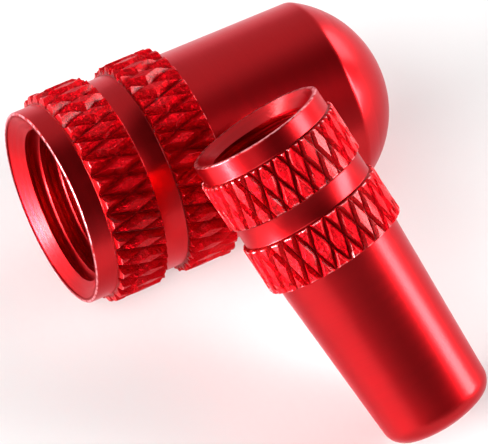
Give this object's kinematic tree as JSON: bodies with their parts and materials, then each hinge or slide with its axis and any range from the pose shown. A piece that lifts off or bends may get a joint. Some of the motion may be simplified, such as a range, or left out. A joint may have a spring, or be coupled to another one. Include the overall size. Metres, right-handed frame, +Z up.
{
  "type": "tyre valve cap pair",
  "caption": "Pair of anodised aluminium tyre valve dust caps, a wide one with a sealing washer and a slim one, each with knurled grip bands and an inside thread.",
  "frame": {"origin": "on the table, under the middle of the pair's bounding box", "axes": "+Z up; the wide cap lies with its mouth towards -X; the slim cap leans on it from the -Y side, with its closed end on the table"},
  "size_m": [0.017, 0.0226, 0.0142],
  "materials": {
    "anodised_aluminium": "satin red anodised, turned and knurled",
    "seal_rubber": "matt black moulded rubber"
  },
  "bodies": {
    "wide_cap_body": {"wide_cap": "anodised_aluminium", "wide_cap_seal": "seal_rubber"},
    "slim_cap_body": {"slim_cap": "anodised_aluminium"}
  },
  "joints": [
    {"name": "slim_cap_lift", "type": "slide", "parent": "wide_cap_body", "child": "slim_cap_body", "axis": [0, 0, 1], "range_m": [0, 0.03]}
  ]
}
